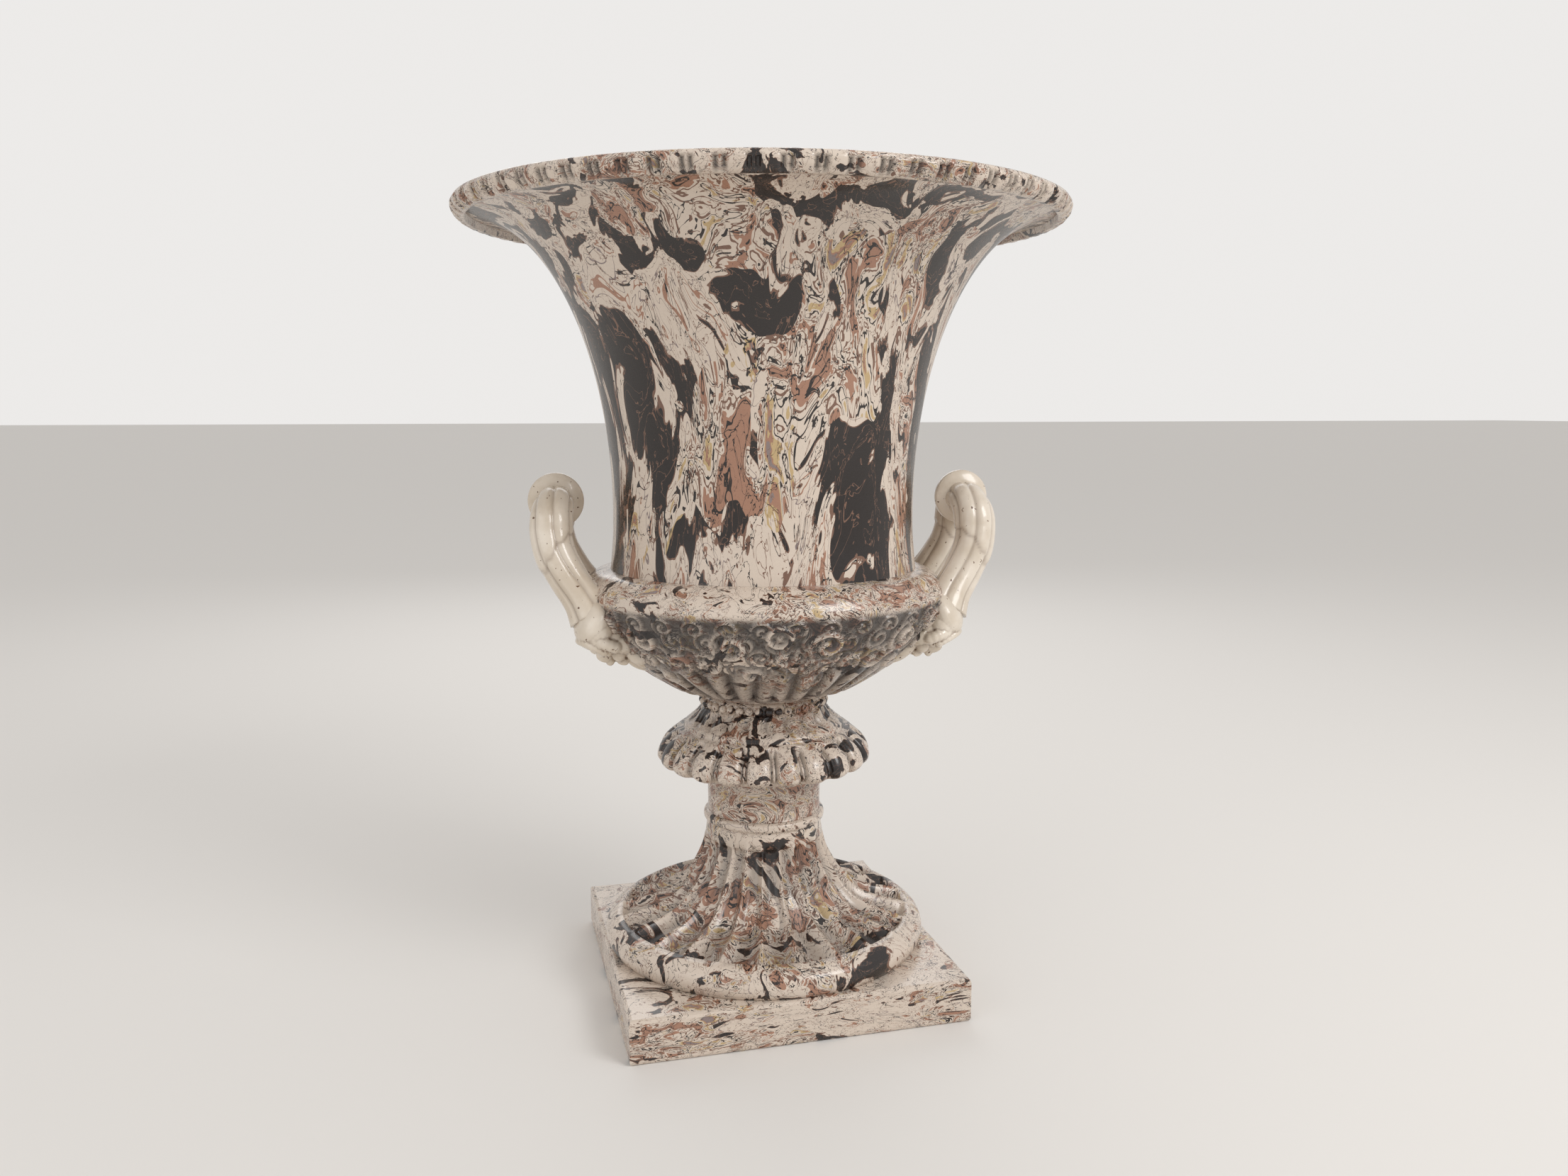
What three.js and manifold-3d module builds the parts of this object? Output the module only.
// Campana vase in marbled, glazed earthenware: a flared bell on a rounded bowl, two looped handles
// that spring from masks, a gadrooned collar, a fluted foot and a square plinth, drawn together by
// one tie rod. Millimetres, +Z up, origin at the centre of the underside of the plinth, front at -Y.

import * as THREE from 'three';
import { mergeVertices } from 'three/addons/utils/BufferGeometryUtils.js';
import Module from 'manifold-3d';

const wasm = await Module();
wasm.setup();

// Gaps and facets
const jointGap = 0.3;
const roundSides = 40;
const smallSides = 16;
const lobeSides = 3;

// Plinth
const plinthWidth = 297;
const plinthHeight = 38.7;
const plinthEdge = 3;
const recessRadius = 34;
const recessDepth = 24;

// Foot: base ring, fluted flare and astragal
const footHeight = 121.3;
const footBulge = 4;
const footBaseRadius = plinthWidth / 2 - footBulge;
const footNeckRadius = 52.8;
const astragalBulge = 2.5;
const astragalHeight = 9;
const footWall = 11;
const fluteCount = 24;
const fluteDepthRatio = 0.24;

// Stem drum between the astragal and the collar
const stemShow = 43;
const stemRadius = 52;
const stemWall = 12;
const stemTenon = 10;
const stemHousing = 6;

// Collar: gadroons, fillet, leaf slope and a string of beads
const collarHeight = 67;
const collarRadius = 98.4;
const collarUndersideRadius = 82;
const collarFilletRadius = 73;
const collarNeckRadius = 52;
const beadRadius = 3.6;
const collarBore = 30;
const collarWeb = 14;
const gadroonCount = 22;
const gadroonDepthRatio = 0.16;

// Bowl
const bowlHeight = 117;
const shoulderRadius = 165;
const shoulderDrop = 25;
const shoulderRound = 35;
const bowlFullness = 1.38;
const bowlWall = 10;
const bowlFloor = 18;

// Bell, which flares to its lip as a quarter of an ellipse
const bellFootRadius = 137.5;
const bellWaistRadius = 134.3;
const bellWaistHeight = 53;
const flareReach = 118;
const flareRise = 250;
const bellWall = 9;
const lipHeight = 7;
const bellSeatWidth = 13;
const bellTenonDepth = 10;
const bellTenonWall = 8;

// Egg-and-dart moulding round the lip
const rimCover = 3.3;
const rimOverhang = 13;
const rimDrop = 13;
const rimInset = 2;
const eggCount = 72;
const eggDepth = 2.4;

// The bowl, bell, rim and handles stand turned a little on the foot
const bodyTurn = -6.3;

// Handles: a roundel at the crown and two stems to each
const crownOut = 19;
const crownUp = 60.5;
const roundelRadius = 24.5;
const roundelEdge = 5;
const roundelHub = 14;
const stemWidth = 34;
const stemDepth = 30;
const crownWidth = 30;
const reedCount = 6;
const reedDepth = 0.05;
const sheathSwell = 1.06;
const sheathEnd = 0.45;
const jointBelowSeam = 39;

// The middle line of a handle stem from its roundel to its root: how far each point lies out from
// the bowl's shoulder, across from the middle of the handle, and above the seam of bell and bowl
const stemRoute = [
  [19, 2, 59],
  [20, 18, 58],
  [22, 31, 48],
  [22, 36, 33],
  [18, 41, 16],
  [8, 46.5, -3],
  [-4, 53, -21],
  [-14, 59.5, -40],
  [-20, 63, -52],
];

// Masks
const maskTurn = 22.5;
const maskTilt = 60;
const maskBelowSeam = 58;
const maskWidth = 38;
const maskLength = 46;
const maskDepth = 32;
const hairLength = 28;
const beardLength = 34;
const beardWidth = 27;
const beardDepth = 24;
const noseLength = 14;
const crownSet = 21;
const faceSet = 4;
const beardSet = 26;
const noseSet = 14;

// Tie rod, its nuts, washers and leather cushions
const rodRadius = 5;
const rodHole = 7;
const threadGap = 0.3;
const rodTail = 5;
const nutAcross = 17;
const nutHeight = 8;
const washerRadius = 24;
const washerHeight = 3;
const cushionRadius = 27;
const cushionHeight = 2;

// Levels, from the underside of the plinth to the lip
const footTop = plinthHeight + footHeight;
const collarBase = footTop + stemShow;
const collarTop = collarBase + collarHeight;
const bowlTop = collarTop + bowlHeight;
const shoulderLevel = bowlTop - shoulderDrop;
const bellWaist = bowlTop + bellWaistHeight;
const lipUnderside = bellWaist + flareRise;
const lipTop = lipUnderside + lipHeight;
const lipRadius = bellWaistRadius + flareReach;
const tenonRadius = bellFootRadius - bellSeatWidth;
const bowlFloorLevel = collarTop + bowlFloor;

function clean(geometry) {
  const bare = geometry.clone();
  bare.deleteAttribute('normal');
  bare.deleteAttribute('uv');
  return mergeVertices(bare);
}

function solidOf(geometry) {
  const bare = clean(geometry);
  const vertProperties = new Float32Array(bare.attributes.position.array);
  const triVerts = new Uint32Array(bare.index.array);
  return new wasm.Manifold(new wasm.Mesh({ numProp: 3, vertProperties, triVerts }));
}

function geometryOf(solid) {
  const mesh = solid.getMesh();
  const geometry = new THREE.BufferGeometry();
  geometry.setAttribute('position', new THREE.BufferAttribute(mesh.vertProperties, 3));
  geometry.setIndex(new THREE.BufferAttribute(mesh.triVerts, 1));
  return geometry;
}

// A quarter of a superellipse from (r0, z0), where it runs level, to (r1, z1), where it stands upright
function quarterCurve(r0, z0, r1, z1, fullness, steps) {
  const points = [];
  for (let i = 0; i <= steps; i += 1) {
    const angle = (i / steps) * Math.PI / 2;
    const across = Math.sin(angle) ** (2 / fullness);
    const up = 1 - Math.cos(angle) ** (2 / fullness);
    points.push([r0 + (r1 - r0) * across, z0 + (z1 - z0) * up]);
  }
  return points;
}

function splinePoints(knots, steps) {
  const curve = new THREE.SplineCurve(knots.map(([r, z]) => new THREE.Vector2(r, z)));
  return curve.getPoints(steps).map((point) => [point.x, point.y]);
}

// A ring turned round the Z axis from a closed outline of [radius, height] that runs anticlockwise
function turned(outline, sides) {
  const points = outline.map(([r, z]) => new THREE.Vector2(r, z));
  points.push(points[0].clone());
  return new THREE.LatheGeometry(points, sides).rotateX(Math.PI / 2);
}

// The outward normal of a closed anticlockwise outline at one of its points
function outwardAt(outline, place) {
  const size = outline.length;
  const before = outline[(place + size - 1) % size];
  const after = outline[(place + 1) % size];
  return new THREE.Vector2(after[1] - before[1], before[0] - after[0]).normalize();
}

// The same ring with lobes: each outline point may name a depth, cut square to the outline
// between one crest and the next
function lobed(outline, count, sides) {
  const geometry = turned(outline, count * sides);
  const { position } = geometry.attributes;
  const size = outline.length;
  for (let i = 0; i < position.count; i += 1) {
    const place = i % (size + 1) % size;
    const part = (Math.floor(i / (size + 1)) % sides) / sides;
    const cut = (outline[place][2] ?? 0) * (1 - (2 * part - 1) ** 2);
    const outward = outwardAt(outline, place);
    const turn = Math.atan2(position.getY(i), position.getX(i));
    position.setX(i, position.getX(i) - cut * outward.x * Math.cos(turn));
    position.setY(i, position.getY(i) - cut * outward.x * Math.sin(turn));
    position.setZ(i, position.getZ(i) - cut * outward.y);
  }
  return geometry;
}

// An outline moved out by a gap, with the points on the axis kept there
function grown(outline, gap) {
  return outline.map(([r, z], place) => {
    const outward = outwardAt(outline, place).multiplyScalar(gap);
    return [r > 0 ? r + outward.x : 0, z + outward.y];
  });
}

function box(width, depth, height, x, y, z) {
  return new THREE.BoxGeometry(width, depth, height).translate(x, y, z);
}

function plinth() {
  const half = plinthWidth / 2 - plinthEdge;
  const outline = new THREE.Shape();
  outline.moveTo(-half, -half);
  outline.lineTo(half, -half);
  outline.lineTo(half, half);
  outline.lineTo(-half, half);
  const slab = new THREE.ExtrudeGeometry(outline, {
    depth: plinthHeight - 2 * plinthEdge,
    bevelThickness: plinthEdge,
    bevelSize: plinthEdge,
    bevelSegments: 2,
  }).translate(0, 0, plinthEdge);
  const hole = new THREE.CylinderGeometry(rodHole, rodHole, 3 * plinthHeight, smallSides).rotateX(Math.PI / 2);
  const recess = new THREE.CylinderGeometry(recessRadius, recessRadius, 2 * recessDepth, roundSides);
  recess.rotateX(Math.PI / 2);
  return geometryOf(solidOf(slab).subtract(solidOf(hole)).subtract(solidOf(recess)));
}

function footOutline() {
  const base = plinthHeight;
  const neck = footNeckRadius;
  const spread = footBaseRadius - neck;
  const rise = footHeight - astragalHeight;
  const flare = splinePoints([
    [neck + 0.01 * spread, base + 0.87 * rise],
    [neck + 0.13 * spread, base + 0.627 * rise],
    [neck + 0.395 * spread, base + 0.373 * rise],
    [neck + 0.77 * spread, base + 0.267 * rise],
    [footBaseRadius - 1, base + 0.17 * rise],
  ].reverse(), 7);
  const bulge = quarterCurve(footBaseRadius, base, footBaseRadius + footBulge, base + 0.105 * rise, 2, 1);
  const reach = flare.length - 1;
  const fluted = flare.map(([r, z], place) => {
    const inside = place > 0 && place < reach;
    return [r, z, inside ? fluteDepthRatio * 2 * Math.PI * r / fluteCount : 0];
  });
  const astragal = [
    [neck, footTop - astragalHeight],
    [neck + astragalBulge, footTop - 0.7 * astragalHeight],
    [neck + astragalBulge, footTop - 0.3 * astragalHeight],
    [neck, footTop],
  ];
  const bore = stemRadius - stemWall + 2 * jointGap;
  const lining = splinePoints([
    [bore, footTop - 2 * stemTenon],
    [neck + 0.2 * spread - footWall, base + 0.55 * rise],
    [neck + 0.45 * spread - footWall, base + 0.24 * rise],
    [footBaseRadius - 2 * footWall, base + 0.1 * rise],
    [footBaseRadius - footWall, base],
  ], 4);
  return [...bulge, ...fluted, ...astragal, [bore, footTop], ...lining];
}

function foot() {
  return lobed(footOutline(), fluteCount, lobeSides);
}

function stemDrum() {
  const inner = stemRadius - 2 * stemWall;
  const top = collarBase + stemHousing;
  return turned([
    [inner, footTop - stemTenon],
    [stemRadius - stemWall, footTop - stemTenon],
    [stemRadius - stemWall, footTop],
    [stemRadius, footTop],
    [stemRadius, top],
    [inner, top],
  ], roundSides);
}

function collarOutline() {
  const base = collarBase;
  const lobes = splinePoints([
    [collarUndersideRadius, base],
    [collarRadius, base + 0.14 * collarHeight],
    [collarRadius - 0.05 * collarRadius, base + 0.33 * collarHeight],
    [collarFilletRadius + 6, base + 0.515 * collarHeight],
  ], 5);
  const carved = lobes.map(([r, z], place) => {
    const inside = place > 0 && place < lobes.length - 1;
    return [r, z, inside ? gadroonDepthRatio * 2 * Math.PI * r / gadroonCount : 0];
  });
  const fillet = base + 0.53 * collarHeight;
  const leaves = splinePoints([
    [collarFilletRadius - 3, base + 0.61 * collarHeight],
    [collarFilletRadius - 11, base + 0.73 * collarHeight],
    [collarNeckRadius + 4, base + 0.86 * collarHeight],
  ], 2);
  const beads = collarTop - 2 * beadRadius;
  return [
    ...carved,
    [collarFilletRadius, fillet],
    [collarFilletRadius, base + 0.59 * collarHeight],
    ...leaves,
    [collarNeckRadius + 1.5 * beadRadius, beads],
    [collarNeckRadius, beads + 1.2 * beadRadius],
    [collarNeckRadius, collarTop],
    [rodHole, collarTop],
    [rodHole, collarTop - collarWeb],
    [collarBore, collarTop - collarWeb - collarBore / 3],
    [collarBore, base + stemHousing],
    [stemRadius + jointGap, base + stemHousing],
    [stemRadius + jointGap, base],
  ];
}

function collar() {
  return lobed(collarOutline(), gadroonCount, lobeSides);
}

// The outside of the bowl from its seat on the collar to the seam under the bell
function bowlOutside(steps) {
  const belly = quarterCurve(collarNeckRadius, collarTop, shoulderRadius, shoulderLevel, bowlFullness, steps);
  const centre = shoulderRadius - shoulderRound;
  const limit = Math.acos(Math.min(1, (bellFootRadius - centre) / shoulderRound));
  const rise = shoulderDrop / Math.sin(limit);
  const shoulder = [];
  const turns = 4;
  for (let i = 1; i <= turns; i += 1) {
    const angle = (i / turns) * limit;
    shoulder.push([centre + shoulderRound * Math.cos(angle), shoulderLevel + rise * Math.sin(angle)]);
  }
  return [...belly, ...shoulder];
}

function bowl() {
  const mouth = tenonRadius + jointGap;
  const ledge = bowlTop - bellTenonDepth - jointGap;
  const widest = shoulderRadius - bowlWall;
  const inside = quarterCurve(
    collarNeckRadius - bowlWall, bowlFloorLevel, widest, shoulderLevel - bowlWall / 2, bowlFullness + 0.1, 5,
  );
  return turned([
    [rodHole, collarTop],
    ...bowlOutside(7),
    [mouth, bowlTop],
    [mouth, ledge],
    [(mouth + widest) / 2, (ledge + shoulderLevel) / 2],
    ...inside.reverse(),
    [rodHole, bowlFloorLevel],
  ], roundSides);
}

// The outside of the bell from the seam to its lip
function bellOutside(steps) {
  const lower = splinePoints([
    [bellFootRadius, bowlTop],
    [bellWaistRadius + 0.3, bowlTop + 0.6 * bellWaistHeight],
    [bellWaistRadius, bellWaist],
  ], 2);
  const flare = [];
  for (let i = 1; i <= steps; i += 1) {
    const angle = (i / steps) * Math.PI / 2;
    flare.push([lipRadius - flareReach * Math.cos(angle), bellWaist + flareRise * Math.sin(angle)]);
  }
  return [...lower, ...flare];
}

function bell() {
  const bottom = bowlTop - bellTenonDepth;
  const reach = flareReach + bellWall;
  const rise = flareRise + bellWall;
  const brim = Math.asin((lipTop - bellWaist) / rise);
  const inside = [];
  const steps = 6;
  for (let i = 0; i <= steps; i += 1) {
    const angle = (i / steps) * brim;
    inside.push([lipRadius - reach * Math.cos(angle), bellWaist + rise * Math.sin(angle)]);
  }
  return turned([
    [tenonRadius - bellTenonWall, bottom],
    [tenonRadius, bottom],
    [tenonRadius, bowlTop],
    ...bellOutside(8),
    [lipRadius, lipTop],
    ...inside.reverse(),
    [bellWaistRadius - bellWall, bowlTop + bellTenonDepth],
    [tenonRadius - bellTenonWall, bowlTop],
  ], roundSides);
}

function rimMoulding() {
  const inner = lipRadius + jointGap;
  const outer = lipRadius + rimOverhang;
  const top = lipTop + rimCover;
  const low = lipTop - rimDrop;
  const cover = lipRadius - bellWall - rimInset;
  return lobed([
    [inner, low],
    [inner + 0.4 * rimOverhang, low - 0.5, eggDepth / 2],
    [outer - 2, low + 0.45 * rimDrop, eggDepth],
    [outer, lipTop - 1, eggDepth],
    [outer - 3, top],
    [cover + 3, top],
    [cover, lipTop],
    [inner, lipTop],
  ], eggCount, 2);
}

// The bowl and the bell filled in, grown by a joint's gap: what the handles and masks are cut to
function bodyBlock() {
  const skin = [...bowlOutside(7), ...bellOutside(8).slice(1, -1)];
  const top = skin[skin.length - 1][1];
  return solidOf(turned(grown([[0, collarTop], ...skin, [0, top]], jointGap), roundSides));
}

function roundel(side) {
  const hub = crownWidth / 2 + 1;
  const disc = new THREE.LatheGeometry([
    new THREE.Vector2(0, -roundelHub / 2),
    new THREE.Vector2(hub, -roundelHub / 2),
    new THREE.Vector2(roundelRadius, -roundelEdge / 2),
    new THREE.Vector2(roundelRadius, roundelEdge / 2),
    new THREE.Vector2(hub, roundelHub / 2),
    new THREE.Vector2(0, roundelHub / 2),
  ], 2 * smallSides);
  return disc.translate(side * (shoulderRadius + crownOut), 0, bowlTop + crownUp);
}

// One reeded limb swept along the stem's route. Its section is widest away from the vase's axis
function limb(side, face) {
  const knots = stemRoute.map(([out, across, up]) => (
    new THREE.Vector3(side * (shoulderRadius + out), face * across, bowlTop + up)
  ));
  const curve = new THREE.CatmullRomCurve3(knots);
  const rings = 13;
  const sides = 2 * reedCount;
  const vertices = [];
  for (let ring = 0; ring <= rings; ring += 1) {
    const place = ring / rings;
    const middle = curve.getPointAt(place);
    const along = curve.getTangentAt(place);
    const wide = new THREE.Vector3(middle.x, middle.y, 0).normalize();
    wide.addScaledVector(along, -wide.dot(along)).normalize();
    const deep = new THREE.Vector3().crossVectors(along, wide);
    const spread = Math.min(1, place / sheathEnd);
    const swell = place < sheathEnd ? sheathSwell : 1;
    const halfWidth = swell * (crownWidth + (stemWidth - crownWidth) * spread) / 2;
    const halfDepth = swell * stemDepth / 2;
    for (let i = 0; i < sides; i += 1) {
      const angle = (i / sides) * 2 * Math.PI;
      const reed = 1 + reedDepth * Math.cos(reedCount * angle);
      vertices.push(middle.clone()
        .addScaledVector(wide, halfWidth * reed * Math.cos(angle))
        .addScaledVector(deep, halfDepth * reed * Math.sin(angle)));
    }
  }
  vertices.push(curve.getPointAt(0), curve.getPointAt(1));
  const faces = [];
  const last = rings * sides;
  for (let i = 0; i < sides; i += 1) {
    const next = (i + 1) % sides;
    faces.push(vertices.length - 2, next, i);
    faces.push(vertices.length - 1, last + i, last + next);
    for (let ring = 0; ring < rings; ring += 1) {
      const lower = ring * sides;
      const upper = lower + sides;
      faces.push(lower + i, lower + next, upper + next);
      faces.push(lower + i, upper + next, upper + i);
    }
  }
  const geometry = new THREE.BufferGeometry().setFromPoints(vertices);
  geometry.setIndex(faces);
  return geometry;
}

// A stem is flat where it meets the roundel's hub and where it stands on its mask
function handleStem(side, face) {
  const reach = 4 * stemWidth;
  const crown = side * (shoulderRadius + crownOut);
  const joint = bowlTop - jointBelowSeam;
  const hubSide = box(reach, reach, reach, crown, face * (roundelHub - reach) / 2, bowlTop + crownUp);
  const underside = box(reach, reach, reach, crown, face * reach / 2, joint - reach / 2);
  const stem = solidOf(limb(side, face)).subtract(solidOf(hubSide)).subtract(solidOf(underside));
  return geometryOf(stem.subtract(bodyBlock()));
}

// The outside radius of the bowl at a level below its shoulder
function bowlRadiusAt(level) {
  const skin = bowlOutside(12);
  const above = skin.findIndex((point) => point[1] > level);
  const [lowR, lowZ] = skin[above - 1];
  const [highR, highZ] = skin[above];
  return lowR + (highR - lowR) * (level - lowZ) / (highZ - lowZ);
}

function blob(width, length, depth, along, out) {
  const ball = new THREE.SphereGeometry(0.5, 10, 6);
  return solidOf(ball.scale(width, length, depth).translate(0, along, out));
}

// A bearded head that lies against the bowl with its crown under the stem
function mask(side, face) {
  const turn = THREE.MathUtils.degToRad(maskTurn);
  const tilt = THREE.MathUtils.degToRad(maskTilt);
  const level = bowlTop - maskBelowSeam;
  const radius = bowlRadiusAt(level);
  const out = new THREE.Vector3(side * Math.cos(turn), face * Math.sin(turn), 0);
  const across = new THREE.Vector3(-out.y, out.x, 0);
  const along = new THREE.Vector3(0, 0, Math.cos(tilt)).addScaledVector(out, Math.sin(tilt));
  const proud = new THREE.Vector3(0, 0, -Math.sin(tilt)).addScaledVector(out, Math.cos(tilt));
  const pose = new THREE.Matrix4().makeBasis(across, along, proud);
  pose.setPosition(radius * out.x, radius * out.y, level);
  const head = blob(maskWidth, maskLength, maskDepth, faceSet, 0)
    .add(blob(maskWidth, hairLength, maskDepth, crownSet, 0))
    .add(blob(beardWidth, beardLength, beardDepth, -beardSet, 0))
    .add(blob(noseLength / 2, noseLength, noseLength, faceSet, noseSet));
  const placed = solidOf(geometryOf(head).applyMatrix4(pose));
  const reach = 4 * maskWidth;
  const joint = bowlTop - jointBelowSeam;
  const above = box(reach, reach, reach, radius * out.x, radius * out.y, joint + reach / 2);
  return geometryOf(placed.subtract(solidOf(above)).subtract(bodyBlock()));
}

function rodPart(geometry, level) {
  return geometry.rotateX(Math.PI / 2).translate(0, 0, level);
}

function tieRod(low, high) {
  const rod = new THREE.CylinderGeometry(rodRadius, rodRadius, high - low, smallSides);
  return rodPart(rod, (low + high) / 2);
}

function nut(level) {
  const corners = nutAcross / Math.sqrt(3);
  const blank = new THREE.CylinderGeometry(corners, corners, nutHeight, 6);
  const bore = rodRadius + threadGap;
  const hole = new THREE.CylinderGeometry(bore, bore, 2 * nutHeight, smallSides);
  return rodPart(geometryOf(solidOf(blank).subtract(solidOf(hole))), level + nutHeight / 2);
}

function disc(radius, height, level) {
  const hole = rodRadius + 2 * threadGap;
  return turned([[hole, level], [radius, level], [radius, level + height], [hole, level + height]], smallSides);
}

function shaded(colour, roughness, metalness) {
  return new THREE.MeshStandardMaterial({ color: colour, roughness, metalness });
}

const vase = new THREE.Group();
const body = new THREE.Group();
body.rotation.z = THREE.MathUtils.degToRad(bodyTurn);
vase.add(body);

function add(group, name, geometry, material) {
  const mesh = new THREE.Mesh(clean(geometry), material);
  mesh.name = name;
  group.add(mesh);
}

add(vase, 'plinth', plinth(), shaded('#cdbfae', 0.3, 0));
add(vase, 'foot', foot(), shaded('#bfae9c', 0.25, 0));
add(vase, 'stem_drum', stemDrum(), shaded('#8c6f5a', 0.25, 0));
add(vase, 'collar', collar(), shaded('#c9c0b5', 0.25, 0));
add(body, 'bowl', bowl(), shaded('#8d7c70', 0.25, 0));
add(body, 'bell', bell(), shaded('#a2907f', 0.25, 0));
add(body, 'rim_moulding', rimMoulding(), shaded('#cfc3b2', 0.25, 0));

for (const [sideName, side] of [['left', -1], ['right', 1]]) {
  add(body, `${sideName}_roundel`, roundel(side), shaded('#e2d9c8', 0.25, 0));
  for (const [faceName, face] of [['front', -1], ['rear', 1]]) {
    add(body, `${sideName}_${faceName}_stem`, handleStem(side, face), shaded('#e2d9c8', 0.25, 0));
    add(body, `${sideName}_${faceName}_mask`, mask(side, face), shaded('#d8ccb8', 0.3, 0));
  }
}

const lowerWasher = recessDepth - cushionHeight - washerHeight;
const lowerNut = lowerWasher - nutHeight;
const upperWasher = bowlFloorLevel + cushionHeight;
const upperNut = upperWasher + washerHeight;
add(vase, 'tie_rod', tieRod(lowerNut - rodTail, upperNut + nutHeight + rodTail), shaded('#8f8c86', 0.45, 1));
add(vase, 'lower_cushion', disc(cushionRadius, cushionHeight, lowerWasher + washerHeight), shaded('#6b4a31', 0.8, 0));
add(vase, 'lower_washer', disc(washerRadius, washerHeight, lowerWasher), shaded('#b08d4a', 0.4, 1));
add(vase, 'lower_nut', nut(lowerNut), shaded('#b08d4a', 0.4, 1));
add(vase, 'upper_cushion', disc(cushionRadius, cushionHeight, bowlFloorLevel), shaded('#6b4a31', 0.8, 0));
add(vase, 'upper_washer', disc(washerRadius, washerHeight, upperWasher), shaded('#b08d4a', 0.4, 1));
add(vase, 'upper_nut', nut(upperNut), shaded('#b08d4a', 0.4, 1));

export default vase;
